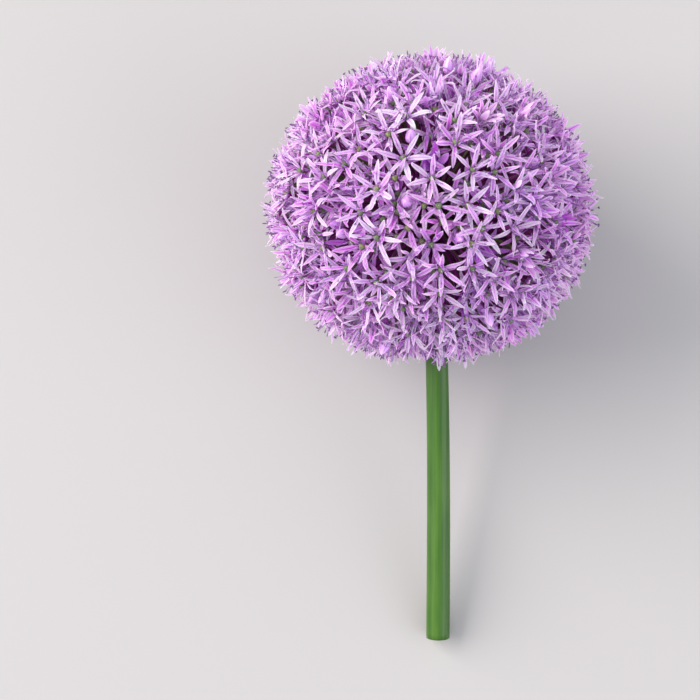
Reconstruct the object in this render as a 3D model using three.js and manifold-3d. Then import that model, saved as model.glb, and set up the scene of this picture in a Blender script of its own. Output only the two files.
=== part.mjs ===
// A picked ornamental onion flower: a ball of six-pointed lilac florets on thin stalks, which all
// spring from one knob at the tip of a smooth green stem, lying on a table.
// Millimetres, +Z up. The origin is on the table, under the middle of the whole flower.
import * as THREE from 'three';
import Module from 'manifold-3d';

// ---- driving dimensions ----
const HEAD_RADIUS = 75;          // knob's centre to the furthest petal tips
const HEAD_CENTRE_HEIGHT = 69.5; // less than the radius: the lowest petals are pressed flat
const KNOB_RADIUS = 11;          // the stem's swollen tip, which the floret stalks grow from
const KNOB_DETAIL = 3;           // splits the knob into 320 faces, each with room for one stalk
const KNOB_TURN = [0.35, 0.2];   // radians about X and Y, so that no face lies square to the stem
const STEM_LENGTH = 200;         // knob's centre to the cut end
const STEM_TOP_RADIUS = 5.0;
const STEM_CUT_RADIUS = 5.6;
const STEM_BEND = 5.0;           // how far the cut end lies to the side of the ball's axis
const STEM_SIDES = 20;
const STEM_RINGS = 10;
const CLEARANCE = 0.3;           // between touching pieces

// ---- florets ----
const PETAL_LENGTH = 14;
const PETAL_RISE = [18, 50];     // degrees that a floret's petals stand up, least and most
const PETAL_RISE_SPREAD = 5;
const PETAL_SPREAD = [0.92, 1.03];
const NOTCH_SHARE = 0.26;        // how far out along the petals their joined feet reach
const OVARY_HEIGHT = 2.7;
const STALK_HALF_WIDTH = 0.8;
const STALK_TOP_DEPTH = 1.7;     // where the stalk meets the petals' underside
const SHELL_RADIUS = HEAD_RADIUS - 13;  // knob's centre to the florets' own centres
const SHELL_SPREAD = 2.4;        // how much deeper or shallower single florets sit
const TOP_FLATTENING = 0.03;     // the ball is a little less tall than wide
const BASE_FLATTENING = 0.07;
const BARE_ANGLE = 34;           // degrees round the stem where the knob grows no stalk
const LOWEST_FLORET_ANGLE = 24;  // degrees from the stem of the florets that hang beside it
const SWAY = 0.045;              // radians that a stalk leans off its own line
const TRIES = 120;               // turns, tilts and depths tried for a floret, to keep petals apart
const PETAL_ROOM = 1.7;          // petals nearer to each other than this are crowded
const STEM_ROOM = 8;             // and petals nearer than this to the stem's middle line

// ---- dry papery sheath round the stem, under the knob ----
const SHEATH_TOP = 15;           // distance from the knob's centre
const SHEATH_LENGTH = 30;
const SHEATH_THICKNESS = 0.8;
const SHEATH_FLARE = 3.0;        // how far the tongues' tips stand off the stem
const SHEATH_TONGUES = 3;
const SHEATH_COLLAR_SHARE = 0.3; // how much of its length is a closed collar
const SHEATH_SIDES = 30;
const SHEATH_RINGS = 5;

const wasm = await Module();
wasm.setup();
const degrees = THREE.MathUtils.degToRad;

let seed = 20;
function random() {
  seed = (seed + 0x6d2b79f5) | 0;
  let t = Math.imul(seed ^ (seed >>> 15), 1 | seed);
  t = (t + Math.imul(t ^ (t >>> 7), 61 | t)) ^ t;
  return ((t ^ (t >>> 14)) >>> 0) / 4294967296;
}
const between = (low, high) => low + (high - low) * random();

// ---- how the flower lies ----
// It rests on the ball's underside and on the lowest point of the stem's cut rim, so the stem
// slopes down from the ball. In the flower's own frame the knob's centre is the origin, +Z is
// the way it grew and DOWN points at the table.
const SLOPE = Math.asin(HEAD_CENTRE_HEIGHT / Math.hypot(STEM_LENGTH, STEM_CUT_RADIUS))
  - Math.atan(STEM_CUT_RADIUS / STEM_LENGTH);
const DOWN = new THREE.Vector3(0, Math.cos(SLOPE), -Math.sin(SLOPE));

// ---- florets ----
// A floret's corner points: its centre, the rim of petal tips and notches, and the ovary's top.
// One that would reach through the table is pushed up until it touches it.
function placeFloret(centre, facing, turn, rise) {
  const side = new THREE.Vector3(1, 0, 0).cross(facing).normalize();
  const other = facing.clone().cross(side);
  const at = (angle, radius, height) => centre.clone()
    .addScaledVector(side, Math.cos(angle) * radius)
    .addScaledVector(other, Math.sin(angle) * radius)
    .addScaledVector(facing, height);
  const rim = [];
  for (let petal = 0; petal < 6; petal++) {
    const tipAngle = turn + petal * Math.PI / 3;
    const tipRise = rise + degrees(between(-PETAL_RISE_SPREAD, PETAL_RISE_SPREAD));
    const tip = PETAL_LENGTH * between(...PETAL_SPREAD);
    const notch = PETAL_LENGTH * NOTCH_SHARE;
    rim.push(at(tipAngle, tip * Math.cos(tipRise), tip * Math.sin(tipRise)));
    rim.push(at(tipAngle + Math.PI / 6, notch * Math.cos(rise), notch * Math.sin(rise)));
  }
  const floret = { centre, facing, rim, top: at(0, 0, OVARY_HEIGHT) };
  const below = Math.max(...rim.map((point) => point.dot(DOWN))) - HEAD_CENTRE_HEIGHT;
  if (below > 0) {
    for (const point of [centre, floret.top, ...rim]) point.addScaledVector(DOWN, -below);
  }
  return floret;
}

// The shortest distance between two straight lines of finite length.
function distanceApart(from, to, otherFrom, otherTo) {
  const along = to.clone().sub(from);
  const otherAlong = otherTo.clone().sub(otherFrom);
  const start = from.clone().sub(otherFrom);
  const a = along.lengthSq();
  const b = along.dot(otherAlong);
  const c = otherAlong.lengthSq();
  const d = along.dot(start);
  const e = otherAlong.dot(start);
  const clamp = (value) => THREE.MathUtils.clamp(value, 0, 1);
  let s = clamp((b * e - c * d) / Math.max(a * c - b * b, 1e-9));
  const t = clamp((b * s + e) / c);
  s = clamp((b * t - d) / a);
  return start.addScaledVector(along, s).addScaledVector(otherAlong, -t).length();
}

// How badly a floret's petals run through those placed before it, or through the stem.
function crowding(floret, placed) {
  let cost = 0;
  const near = placed.filter((other) => other.centre.distanceTo(floret.centre) < 2 * PETAL_LENGTH);
  for (let i = 0; i < floret.rim.length; i += 2) {
    const fromStem = distanceApart(floret.centre, floret.rim[i],
      stemMiddle(SHELL_RADIUS / 2), stemMiddle(SHELL_RADIUS + PETAL_LENGTH));
    cost += 10 * Math.max(0, STEM_ROOM - fromStem);
    for (const other of near) {
      for (let j = 0; j < other.rim.length; j += 2) {
        const apart = distanceApart(floret.centre, floret.rim[i], other.centre, other.rim[j]);
        cost += Math.max(0, PETAL_ROOM - apart);
      }
    }
  }
  return cost;
}

// The florets sit on a slightly flattened ball round the knob.
function shellRadius(polar) {
  const upright = Math.cos(polar);
  const flattening = upright > 0 ? TOP_FLATTENING : BASE_FLATTENING;
  return SHELL_RADIUS * (1 - flattening * upright * upright);
}

// The least crowded of several turns, tilts and depths for the floret of one stalk.
function growFloret(polar, azimuth, placed) {
  let best;
  for (let attempt = 0; attempt < TRIES; attempt++) {
    const tilt = polar + between(-SWAY, SWAY);
    const swing = azimuth + between(-SWAY, SWAY) / Math.max(0.3, Math.sin(tilt));
    const facing = new THREE.Vector3(Math.sin(tilt) * Math.cos(swing),
      Math.sin(tilt) * Math.sin(swing), Math.cos(tilt));
    const centre = facing.clone()
      .multiplyScalar(shellRadius(tilt) + between(-SHELL_SPREAD, SHELL_SPREAD));
    const floret = placeFloret(centre, facing, between(0, Math.PI / 3),
      degrees(between(...PETAL_RISE)));
    floret.cost = crowding(floret, placed);
    if (!best || floret.cost < best.cost) best = floret;
  }
  return best;
}

// ---- the ball ----
function solidOf(points, triangles) {
  return new wasm.Manifold(new wasm.Mesh({
    numProp: 3,
    vertProperties: new Float32Array(points.flatMap((point) => point.toArray())),
    triVerts: new Uint32Array(triangles.flat()),
  }));
}

// One wedge of the knob, from its centre to one face, with the stalk and floret on that face.
function wedgeWithFloret(corners, floret) {
  const faceMiddle = corners[0].clone().add(corners[1]).add(corners[2]).divideScalar(3);
  const outward = corners.map((corner) =>
    corner.clone().sub(faceMiddle).projectOnPlane(floret.facing).normalize());
  const middle = floret.centre.clone().addScaledVector(floret.facing, -STALK_TOP_DEPTH);
  const neck = outward.map((direction) =>
    middle.clone().addScaledVector(direction, STALK_HALF_WIDTH));
  const points = [new THREE.Vector3(), ...corners, ...neck, ...floret.rim, floret.top];
  const [core, face, collar, rim] = [0, 1, 4, 7];
  const sides = floret.rim.length;
  const top = rim + sides;
  const triangles = [];
  for (let k = 0; k < 3; k++) {
    const next = (k + 1) % 3;
    triangles.push([core, face + next, face + k]);
    triangles.push([face + k, face + next, collar + next], [face + k, collar + next, collar + k]);
  }
  for (let i = 0; i < sides; i++) triangles.push([top, rim + i, rim + (i + 1) % sides]);
  // the petals' underside, from each edge of the rim to the nearest corner of the stalk
  const nearestCorner = (point) => {
    const agreement = outward.map((direction) => direction.dot(point.clone().sub(middle)));
    return agreement.indexOf(Math.max(...agreement));
  };
  const owner = floret.rim.map((point, i) =>
    nearestCorner(point.clone().add(floret.rim[(i + 1) % sides]).multiplyScalar(0.5)));
  for (let i = 0; i < sides; i++) {
    const before = owner[(i + sides - 1) % sides];
    triangles.push([collar + owner[i], rim + (i + 1) % sides, rim + i]);
    if (owner[i] !== before) triangles.push([rim + i, collar + before, collar + owner[i]]);
  }
  return solidOf(points, triangles);
}

function bareWedge(corners) {
  return solidOf([new THREE.Vector3(), ...corners], [[1, 2, 3], [0, 2, 1], [0, 3, 2], [0, 1, 3]]);
}

function geometryOf(solid) {
  const mesh = solid.getMesh();
  const geometry = new THREE.BufferGeometry();
  geometry.setAttribute('position', new THREE.BufferAttribute(mesh.vertProperties, 3));
  geometry.setIndex(new THREE.BufferAttribute(mesh.triVerts, 1));
  return geometry;
}

// One floret on each face of the many-sided knob, all fused into one body.
function flowerHead() {
  const [turnX, turnY] = KNOB_TURN;
  const knob = new THREE.IcosahedronGeometry(KNOB_RADIUS, KNOB_DETAIL).rotateX(turnX).rotateY(turnY);
  const corner = knob.getAttribute('position');
  const wedges = [];
  const placed = [];
  for (let i = 0; i < corner.count; i += 3) {
    const corners = [0, 1, 2].map((k) => new THREE.Vector3().fromBufferAttribute(corner, i + k));
    const outward = corners[0].clone().add(corners[1]).add(corners[2]).normalize();
    const fromStem = THREE.MathUtils.radToDeg(Math.acos(-outward.z));
    if (fromStem < BARE_ANGLE) {
      wedges.push(bareWedge(corners));
      continue;
    }
    // stalks near the stem hang down beside it, so that the ball closes round it
    const hang = (BARE_ANGLE - LOWEST_FLORET_ANGLE) * (180 - fromStem) / (180 - BARE_ANGLE);
    const polar = degrees(180 - fromStem + hang);
    const floret = growFloret(polar, Math.atan2(outward.y, outward.x), placed);
    placed.push(floret);
    wedges.push(wedgeWithFloret(corners, floret));
  }
  return geometryOf(wasm.Manifold.union(wedges));
}

// ---- the stem ----
// The stem's middle line, by distance from the knob's centre: it leaves the ball a little askew
// and straightens towards its cut end.
function stemMiddle(distance) {
  const share = distance / STEM_LENGTH;
  return new THREE.Vector3(STEM_BEND * (1 - (1 - share) ** 3), 0, -distance);
}

function stemRadius(distance) {
  return THREE.MathUtils.lerp(STEM_TOP_RADIUS, STEM_CUT_RADIUS, distance / STEM_LENGTH);
}

// A profile of (radius, distance from the knob's centre) turned round a straight stem.
function turnedRoundStem(profile, sides) {
  const geometry = new THREE.LatheGeometry(
    profile.map(([radius, distance]) => new THREE.Vector2(radius, -distance)), sides);
  geometry.rotateX(Math.PI / 2);
  return geometry;
}

// Shifts each ring of a straight piece onto the stem's bent middle line.
function followStem(geometry) {
  const position = geometry.getAttribute('position');
  for (let i = 0; i < position.count; i++) {
    position.setX(i, position.getX(i) + stemMiddle(-position.getZ(i)).x);
  }
  return geometry;
}

function stem() {
  const top = KNOB_RADIUS + CLEARANCE;
  const profile = [[0, STEM_LENGTH]];
  for (let i = 0; i <= STEM_RINGS; i++) {
    const distance = THREE.MathUtils.lerp(STEM_LENGTH, top, i / STEM_RINGS);
    profile.push([stemRadius(distance), distance]);
  }
  profile.push([0, top]);
  return followStem(turnedRoundStem(profile, STEM_SIDES));
}

// ---- the sheath ----
// A collar that splits into tongues, which stand off the stem a little more towards their tips.
// Its profile's distances are shares of the length, which is longest in the middle of a tongue.
function sheath() {
  const inner = STEM_TOP_RADIUS + 2 * CLEARANCE;
  const wall = [];
  for (let i = 0; i <= SHEATH_RINGS; i++) {
    const share = i / SHEATH_RINGS;
    wall.push([inner + SHEATH_FLARE * share * share, share]);
  }
  const profile = [
    ...wall,
    ...wall.map(([radius, share]) => [radius + SHEATH_THICKNESS, share]).reverse(),
    wall[0],
  ];
  const geometry = turnedRoundStem(profile, SHEATH_SIDES);
  const position = geometry.getAttribute('position');
  for (let i = 0; i < position.count; i++) {
    const around = Math.atan2(position.getY(i), position.getX(i));
    const tongue = Math.abs(Math.cos(around * SHEATH_TONGUES / 2)) ** 0.8;
    const length = SHEATH_LENGTH * THREE.MathUtils.lerp(SHEATH_COLLAR_SHARE, 1, tongue);
    position.setZ(i, -SHEATH_TOP + position.getZ(i) * length);
  }
  return followStem(geometry);
}

// ---- the flower, grown upright and then laid on the table ----
const flower = new THREE.Group();
function addPiece(name, geometry, look) {
  const piece = new THREE.Mesh(geometry, new THREE.MeshStandardMaterial({ metalness: 0, ...look }));
  piece.name = name;
  flower.add(piece);
}
addPiece('flower_head', flowerHead(), { color: '#b68ad0', roughness: 0.6, flatShading: true });
addPiece('stem', stem(), { color: '#5f8f47', roughness: 0.5 });
addPiece('sheath', sheath(), { color: '#c9b48c', roughness: 0.85, side: THREE.DoubleSide });
flower.rotation.x = SLOPE - Math.PI / 2;
const middle = new THREE.Box3().setFromObject(flower, true).getCenter(new THREE.Vector3());
flower.position.set(-middle.x, -middle.y, HEAD_CENTRE_HEIGHT);

export default flower;
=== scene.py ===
# A picked ornamental onion flower on a pale table: a ball of lilac star-shaped florets on thin
# stalks, which spring from one knob at the tip of a smooth green stem. Metres, +Z up, with the
# origin on the table under the middle of the flower.
import random
from math import acos, asin, atan, atan2, copysign, cos, hypot, pi, radians, sin, sqrt, tau
import bmesh
import bpy
from mathutils import Matrix, Vector, noise


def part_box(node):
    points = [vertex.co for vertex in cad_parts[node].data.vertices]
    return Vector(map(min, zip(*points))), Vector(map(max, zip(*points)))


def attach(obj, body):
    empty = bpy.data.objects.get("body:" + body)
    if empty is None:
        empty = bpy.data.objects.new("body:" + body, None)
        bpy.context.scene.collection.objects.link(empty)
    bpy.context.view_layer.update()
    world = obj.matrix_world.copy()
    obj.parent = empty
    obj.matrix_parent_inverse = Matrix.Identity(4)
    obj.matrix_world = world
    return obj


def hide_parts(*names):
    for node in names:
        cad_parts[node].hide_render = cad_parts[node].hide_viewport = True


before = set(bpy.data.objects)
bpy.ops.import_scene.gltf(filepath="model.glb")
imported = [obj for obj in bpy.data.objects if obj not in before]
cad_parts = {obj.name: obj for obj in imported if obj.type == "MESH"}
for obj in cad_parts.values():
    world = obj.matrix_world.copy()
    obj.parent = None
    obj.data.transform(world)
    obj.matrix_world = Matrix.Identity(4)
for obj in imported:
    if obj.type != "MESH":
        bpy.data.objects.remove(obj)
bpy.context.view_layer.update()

bl_info = {
    "name": "Ornamental Onion Flower",
    "version": (1, 0, 0),
    "blender": (4, 5, 0),
    "location": "View3D > Sidebar > Flower",
    "description": "Grows a ball of star-shaped florets on a cut stem and lays it on a table",
    "category": "Add Mesh",
}

MM = 0.001
STEM_LOW, STEM_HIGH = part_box("stem")


def linear(hex_colour):
    """An sRGB hex colour as the linear red, green, blue and alpha that shaders work in."""
    channels = [int(hex_colour[i:i + 2], 16) / 255 for i in (1, 3, 5)]
    return tuple(c / 12.92 if c <= 0.04045 else ((c + 0.055) / 1.055) ** 2.4 for c in channels) + (1.0,)


def length(name, description, millimetres):
    """A size that a user can change, in metres, with its default given in millimetres."""
    return bpy.props.FloatProperty(name=name, description=description, default=millimetres * MM,
                                   unit="LENGTH", precision=4)


def colour(name, description, hex_colour):
    """A colour that a user can change."""
    return bpy.props.FloatVectorProperty(name=name, description=description, subtype="COLOR", size=4,
                                         min=0, max=1, default=linear(hex_colour))


class FlowerSizes(bpy.types.PropertyGroup):
    """The flower's driving sizes."""

    seed: bpy.props.IntProperty(name="Seed", description="Draws another flower of the same kind", default=7)
    floret_count: bpy.props.IntProperty(
        name="Florets", description="How many stalks the knob carries", default=950, min=20)
    centre_height: length("Centre height", "The ball's centre above the table", 69.5)
    floret_radius: length("Floret radius", "The ball's centre to the florets' own bases", 67.5)
    petal_length: length("Petal length", "Base to tip of a full-grown petal", 12.4)
    petal_width: length("Petal width", "Across a petal's widest place", 2.5)
    petal_thickness: length("Petal thickness", "Along a petal's keel", 0.42)
    filament_length: length("Filament length", "Base to anther of a full-grown stamen", 6.7)
    ovary_radius: length("Ovary radius", "Middle of the ovary to its widest place", 1.6)
    stalk_radius: length("Stalk radius", "Of a floret's own stalk", 0.6)
    knob_radius: length("Knob radius", "The stem's swollen tip", 10.6)
    stem_length: length("Stem length", "Knob's centre to the cut end", 200)
    stem_top_radius: length("Stem radius, top", "Under the knob", 5.0)
    stem_cut_radius: length("Stem radius, cut", "At the cut end", 5.6)
    stem_bend: length("Stem bend", "How far the cut end lies to the side of the ball's axis", 5.0)
    sheath_top: length("Sheath top", "Knob's centre to the sheath's collar", 15)
    sheath_length: length("Sheath length", "Collar to the tip of a tongue", 30)
    sheath_flare: length("Sheath flare", "How far the tips stand off the stem", 3.0)


class FlowerColours(bpy.types.PropertyGroup):
    """The flower's colours."""

    petal_light: colour("Petal, light", "Between the veins", "#E1A8EE")
    petal_deep: colour("Petal, deep", "Towards the veins and the foot", "#BE66D0")
    petal_vein: colour("Petal vein", "Middle vein", "#7C3A96")
    petal_margin: colour("Petal margin", "Thin edges and tips", "#E9C4F1")
    ovary: colour("Ovary", "Green middle of each floret", "#61734F")
    # painted light: a lit, yellower copy of the ovary green, which a few ovaries get at random
    ovary_painted_lit: colour("Ovary, ripe", "Yellower green of the ripest ones", "#869357")
    filament: colour("Filament", "Stalk of each stamen", "#D3AEE4")
    filament_tip: colour("Filament tip", "Under the anther", "#7D5596")
    anther: colour("Anther", "Dusky pollen sac", "#6B5A72")
    stalk: colour("Stalk", "Stalks inside the ball", "#6B7842")
    sap: colour("Sap", "Purple that darkens most stalks", "#96308A")
    stem_green: colour("Stem", "Living green under the bloom", "#305D08")
    stem_shade: colour("Stem, dark bands", "Darker green that runs along the stem", "#204213")
    stem_olive: colour("Stem, olive bands", "Yellower green that runs along the stem", "#3E6614")
    stem_bloom: colour("Stem bloom", "Waxy bloom on the stem", "#5E8238")
    pith: colour("Pith", "Cut face of the stem", "#D5DDAE")
    sheath: colour("Sheath", "Dry papery sheath", "#C8B48E")
    sheath_vein: colour("Sheath veins", "Darker lines along the sheath", "#8C7350")
    sheath_pale: colour("Sheath, pale", "Where the sheath is bleached", "#E3D7B9")
    table: colour("Table", "Pale table", "#ABAAA9")


# ---- where things are ----
# In the flower's own frame the knob's centre is the origin and +Z is the way it grew. It lies on
# the ball's underside and on the stem's cut rim, so the stem slopes down from the ball.
def slope(sizes):
    """The angle between the flower's own axis and the table."""
    reach = hypot(sizes.stem_length, sizes.stem_cut_radius)
    return asin(sizes.centre_height / reach) - atan(sizes.stem_cut_radius / sizes.stem_length)


def knob_centre(sizes):
    """The knob's centre over the table, worked out from the modelled stem's cut end."""
    lean = slope(sizes)
    reach = sizes.stem_length * cos(lean) + sizes.stem_cut_radius * sin(lean)
    return Vector((STEM_HIGH.x - sizes.stem_bend - sizes.stem_cut_radius,
                   STEM_LOW.y + reach, sizes.centre_height))


def laid_down(sizes):
    """The matrix that takes the upright flower to its place on the table."""
    return Matrix.Translation(knob_centre(sizes)) @ Matrix.Rotation(slope(sizes) - pi / 2, 4, "X")


def stem_middle(sizes, distance):
    """A point of the stem's middle line, at a distance from the knob's centre."""
    share = min(1, distance / sizes.stem_length)
    return Vector((sizes.stem_bend * (1 - (1 - share) ** 3), 0, -distance))


# ---- florets ----
GOLDEN_ANGLE = pi * (3 - sqrt(5))
BARE_ANGLE = radians(12)   # round the stem, where no floret hangs
HOLLOW_WIDTH = 0.1              # radians from a hollow's middle to its edge
# the way from the knob to the middle of each dark hollow; the last three lie behind and to the sides
HOLLOWS = tuple(Vector(way) for way in (
    (0.10, -0.97, -0.21), (0.09, -0.91, -0.41), (0.10, -0.99, -0.07), (0.35, -0.92, 0.19),
    (0.18, -0.98, 0.02), (-0.17, -0.98, 0.11), (-0.24, -0.95, -0.17), (0.04, -0.91, 0.42),
    (0.39, -0.79, -0.47), (0.42, -0.90, -0.15), (-0.15, -0.94, 0.30), (-0.26, -0.97, 0.01),
    (0.36, -0.89, 0.27), (-0.3, 0.9, 0.3), (0.95, 0.3, 0.1), (-0.9, 0.2, 0.4)))
# the clearest florets of the side that grew towards the camera: which way each lies from the knob,
# and by how many degrees it is turned about its own stalk
FRONT_STARS = (
    ((-0.29, -0.79, 0.54), 54), ((-0.47, -0.76, 0.45), 31), ((0.12, -0.77, 0.63), 15),
    ((0.12, -0.86, 0.50), 14), ((-0.20, -0.89, 0.40), 57), ((0.22, -0.92, 0.33), 26),
    ((-0.03, -0.96, 0.28), 24), ((-0.36, -0.91, 0.21), 34), ((0.01, -0.99, 0.12), 39),
    ((0.19, -0.98, 0.12), 42), ((0.37, -0.93, 0.08), 30), ((-0.46, -0.89, 0.07), 25),
    ((0.27, -0.96, -0.02), 10), ((-0.36, -0.93, -0.08), 56), ((0.21, -0.97, -0.11), 5),
    ((0.03, -0.96, -0.27), 31), ((0.22, -0.94, -0.27), 42), ((0.35, -0.88, -0.33), 33),
    ((-0.14, -0.93, -0.33), 35), ((0.03, -0.90, -0.44), 33), ((0.20, -0.65, 0.73), 8),
    ((-0.14, -0.66, 0.74), 3), ((-0.18, -0.74, 0.65), 0), ((-0.41, -0.75, -0.51), 20),
    ((-0.36, -0.86, -0.37), 40), ((0.48, -0.88, -0.03), 15),
)
# the way to each closed bud among them
FRONT_BUDS = ((-0.18, -0.97, 0.14), (0.14, -0.99, -0.08), (-0.58, -0.81, -0.07))
# and to each of the shaded florets that show between the clearest
SECOND_ROW = (
    (-0.03, -0.82, 0.57), (-0.08, -0.90, 0.44), (0.23, -0.83, 0.50), (-0.35, -0.81, 0.46),
    (-0.43, -0.84, 0.32), (-0.26, -0.92, 0.29), (-0.12, -0.97, 0.21), (-0.27, -0.95, 0.13),
    (-0.08, -0.99, 0.12), (-0.34, -0.94, 0.03), (-0.18, -0.98, -0.02), (-0.25, -0.96, -0.08),
    (-0.03, -0.99, -0.13), (-0.47, -0.87, -0.15), (-0.54, -0.79, -0.28), (0.45, -0.88, 0.15),
    (0.57, -0.81, 0.14), (0.66, -0.75, -0.10), (0.54, -0.82, -0.18), (0.44, -0.86, -0.25),
    (-0.06, -0.84, -0.54), (0.38, -0.69, 0.62), (0.64, -0.70, 0.32), (0.00, -0.68, 0.73),
)
TOP_FLATTENING = 0.05           # the ball is a little less tall than wide
BASE_FLATTENING = 0.1
TABLE_GAP = 0.3 * MM
STEM_GAP = 1.0 * MM
STAR_GAP = 0.21                 # radians between florets that stand out from the rest
ELBOW_ROOM = 0.12               # radians round those, where the others sit lower

# How deep florets sit below the ball's surface. Each pair is the least and the most.
FURTHEST_OUT = 1.8 * MM         # the longest stalks hold theirs this far beyond the surface
DEEPEST = 11 * MM               # below those, and counts as a depth of 1
UNEVEN_DEPTHS = (-0.8 * MM, 2.2 * MM)
SHORT_STALK_DEPTHS = (2 * MM, 7 * MM)
SHORT_STALK_SHARE = 0.43        # of all florets
HOLLOW_DEPTH = 4 * MM           # what the middle of a hollow adds to the most of those depths
HOLLOW_SHARE = 0.35             # and to that share
HOLLOW_THINNING = 0.6           # the share of its florets that are missing there
DENT_DEPTH = 3 * MM             # of the ball's broad dents
DENTS = 3.4                     # how many of them fit in a radius
PLACED_BUD_DEPTH = 3 * MM
SECOND_ROW_DEPTHS = (1.5 * MM, 3.5 * MM)
CROWDED_DEPTHS = (2.5 * MM, 7 * MM)

# How they open. Rises are degrees above wide open, as the least and the most, or as OPEN_RISE's
# and STAR_RISE's mean and deviation. Breadths and scales are shares of the full-grown size.
SWAY = 0.05                     # radians that a stalk leans off its own line
NOD = 0.13                      # the deviation of the way a floret faces
BUD_SHARE = 0.045
CUPPED_SHARE = 0.19             # of florets, buds among them, that aren't fully open yet
CUPPED_RISES = (52, 72)
CUPPED_BREADTH = 1.25
FLAT_SHARE = 0.29               # those between that share and this one lie wide open
FLAT_RISES = (2, 14)
FLAT_BREADTH = 0.78
OPEN_RISE = (39, 9)
OPEN_BREADTHS = (0.8, 0.95)
DEEP_BREADTH = 0.2              # how much broader petals at the greatest depth are
STAR_RISE = (33, 4)
STAR_BREADTHS = (0.84, 0.98)
STAR_HEIGHTS = (0.3, 1)         # shares of the furthest out
FLORET_SCALES = (0.9, 1.06)
PETAL_SCALES = (0.93, 1.04)
PETAL_SWING = 0.09              # radians that a petal stands beside its sixth of the turn
RIPENESS = (0.8, 1.28)          # shares of the full-grown stamens' length
FOLDED = radians(85)       # as far as a petal folds up to clear the stem
FOLDING_STEP = radians(5)


class Floret:
    """Where one floret sits and how it holds its parts."""

    def __init__(self, index, sizes, chance):
        share = (index + 0.5) / sizes.floret_count
        polar = acos(1 - share * (1 + cos(BARE_ANGLE))) + chance.uniform(-SWAY, SWAY)
        around = index * GOLDEN_ANGLE + chance.uniform(-SWAY, SWAY) / max(0.3, sin(polar))
        self.outward = Vector((sin(polar) * cos(around), sin(polar) * sin(around), cos(polar)))
        upright = self.outward.z
        flattening = TOP_FLATTENING if upright > 0 else BASE_FLATTENING
        self.surface = sizes.floret_radius * (1 - flattening * upright * upright)
        # shorter stalks, more of them in the hollows, leave the dark gaps that the ball shows
        nearest = min(self.outward.angle(hollow) for hollow in HOLLOWS)
        self.hollow = max(0, 1 - nearest / HOLLOW_WIDTH)
        sunk = max(0, noise.noise(self.outward * DENTS)) * DENT_DEPTH
        if chance.random() < SHORT_STALK_SHARE + HOLLOW_SHARE * self.hollow:
            least, most = SHORT_STALK_DEPTHS
            sunk += chance.uniform(least, most + HOLLOW_DEPTH * self.hollow)
        self.sit_at(self.surface - sunk - chance.uniform(*UNEVEN_DEPTHS))
        nod = Vector([chance.gauss(0, NOD) for _ in range(3)])
        self.facing = (self.outward + nod).normalized()
        self.scale = chance.uniform(*FLORET_SCALES)
        self.tint = chance.random()
        self.ripeness = chance.uniform(*RIPENESS)
        age = chance.random()
        self.is_bud = age < BUD_SHARE
        if age < CUPPED_SHARE:
            rise = chance.uniform(*CUPPED_RISES)
            self.breadth = CUPPED_BREADTH
        elif age < FLAT_SHARE:
            rise = chance.uniform(*FLAT_RISES)
            self.breadth = FLAT_BREADTH
        else:
            rise = chance.gauss(*OPEN_RISE)
            self.breadth = chance.uniform(*OPEN_BREADTHS) + DEEP_BREADTH * self.depth
        turn = chance.uniform(0, tau)
        self.petals = [(turn + k * pi / 3 + chance.uniform(-PETAL_SWING, PETAL_SWING),
                        radians(rise + chance.gauss(0, 7)),
                        self.scale * chance.uniform(*PETAL_SCALES)) for k in range(6)]

    def sit_at(self, radius):
        """Sets how far from the ball's centre the floret sits."""
        self.base = self.outward * radius
        self.depth = min(1, (self.surface + FURTHEST_OUT - radius) / DEEPEST)

    def angle_to(self, others):
        """The angle at the ball's centre to the nearest of some other florets."""
        return min(self.outward.angle(other.outward) for other in others)

    def move_to(self, outward, turn):
        """Makes it an open floret elsewhere on the ball that faces straight out, turned as told."""
        self.outward = self.facing = outward
        self.is_bud = False
        first = self.petals[0][0]
        self.petals = [(turn + was - first, rise, scale) for was, rise, scale in self.petals]

    def stand_out(self, chance):
        """Lifts the floret above its neighbours, as a clear star that faces outwards."""
        self.sit_at(self.surface + chance.uniform(*STAR_HEIGHTS) * FURTHEST_OUT)
        self.facing = (self.outward * 2 + self.facing).normalized()
        self.breadth = chance.uniform(*STAR_BREADTHS)
        rise = chance.gauss(*STAR_RISE)
        self.petals = [(turn, radians(rise + chance.gauss(0, 5)), scale)
                       for turn, _, scale in self.petals]

    def frame(self, turn=0):
        """The matrix to the upright flower's frame from the floret's own, where +Z is the way it faces,
        and which may be turned about that."""
        facing = self.facing.to_track_quat("Z", "Y").to_matrix().to_4x4()
        return Matrix.Translation(self.base) @ facing @ Matrix.Rotation(turn, 4, "Z")

    def petal_tip(self, sizes, turn, rise, scale):
        """Where a petal held like this ends."""
        return self.frame() @ (Matrix.Rotation(turn, 4, "Z") @ Matrix.Rotation(-rise, 4, "Y")
                               @ Vector((sizes.petal_length * scale, 0, 0)))

    def reach_down(self, sizes, down):
        """How far down its lowest petal or its stamens reach."""
        stamens = self.base + self.facing * sizes.filament_length * self.ripeness
        return max(stamens.dot(down), *(self.petal_tip(sizes, *petal).dot(down) for petal in self.petals))

    def clear_the_stem(self, sizes):
        """Folds up the petals that would run into the stem."""
        for k, (turn, rise, scale) in enumerate(self.petals):
            while rise < FOLDED:
                tip = self.petal_tip(sizes, turn, rise, scale)
                off = tip - stem_middle(sizes, -tip.z)
                if tip.z > 0 or hypot(off.x, off.y) > sizes.stem_top_radius + STEM_GAP:
                    break
                rise += FOLDING_STEP
            self.petals[k] = (turn, rise, scale)


def place_by_hand(florets, taken, way, turn):
    """Moves the nearest floret that isn't taken yet to a given place of the ball, turned as told."""
    outward = Vector(way).normalized()
    nearest = max((floret for floret in florets if floret not in taken),
                  key=lambda floret: floret.outward.dot(outward))
    nearest.move_to(outward, radians(turn))
    return nearest


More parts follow.
